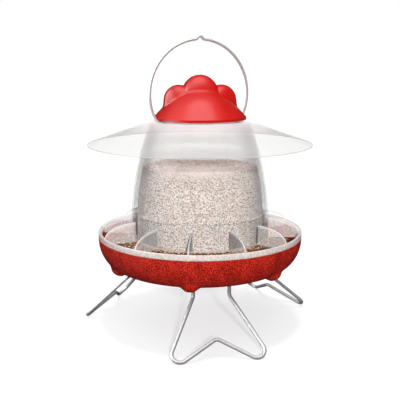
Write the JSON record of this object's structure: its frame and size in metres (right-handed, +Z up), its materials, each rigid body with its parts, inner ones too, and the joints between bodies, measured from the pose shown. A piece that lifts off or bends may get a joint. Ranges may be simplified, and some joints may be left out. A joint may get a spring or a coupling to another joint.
{
  "type": "gravity poultry feeder",
  "caption": "Gravity poultry feeder: clear hopper over a round red trough with a clear grille, cone rain shade, comb lid, wire bail and bent wire legs.",
  "frame": {"origin": "on the feeder's vertical axis, on the floor that the wire legs stand on", "axes": "+Z up; one leg points along -Y; +X to the right when that leg faces the viewer; the comb runs along X"},
  "size_m": [0.3672, 0.3508, 0.4497],
  "materials": {
    "tray_red": "deep red moulded plastic with a fine pebbled grain",
    "lid_red": "bright glossy red, slightly translucent",
    "hopper_plastic": "clear plastic with a faint frost",
    "shade_plastic": "frosted clear plastic",
    "clear_plastic": "clear plastic, polished edges",
    "wire_steel": "bright zinc-plated wire",
    "bail_steel": "bright zinc-plated wire",
    "feed_grain": "loose speckled grain and pellets"
  },
  "bodies": {
    "tray": {"tray": "tray_red", "grille_rim": "clear_plastic", "grille_collar": "clear_plastic", "grille_fin_01": "clear_plastic", "grille_fin_02": "clear_plastic", "grille_fin_03": "clear_plastic", "grille_fin_04": "clear_plastic", "grille_fin_05": "clear_plastic", "grille_fin_06": "clear_plastic", "grille_fin_07": "clear_plastic", "grille_fin_08": "clear_plastic", "grille_fin_09": "clear_plastic", "grille_fin_10": "clear_plastic", "grille_fin_11": "clear_plastic", "grille_fin_12": "clear_plastic", "leg_front": "wire_steel", "leg_right": "wire_steel", "leg_left": "wire_steel", "feed_fill": "feed_grain"},
    "hopper": {"hopper": "hopper_plastic", "rain_shade": "shade_plastic"},
    "lid": {"lid": "lid_red"},
    "bail": {"bail": "bail_steel"}
  },
  "joints": [
    {"name": "hopper_twist", "type": "hinge", "parent": "tray", "child": "hopper", "pos_m": [0, 0, 0.15], "axis": [0, 0, 1], "range_deg": [0, 30]},
    {"name": "lid_lift", "type": "slide", "parent": "hopper", "child": "lid", "axis": [0, 0, 1], "range_m": [0, 0.045]},
    {"name": "bail_swing", "type": "hinge", "parent": "hopper", "child": "bail", "pos_m": [0, 0, 0.3235], "axis": [0.9613, 0.2756, 0], "range_deg": [-95, 95]}
  ]
}
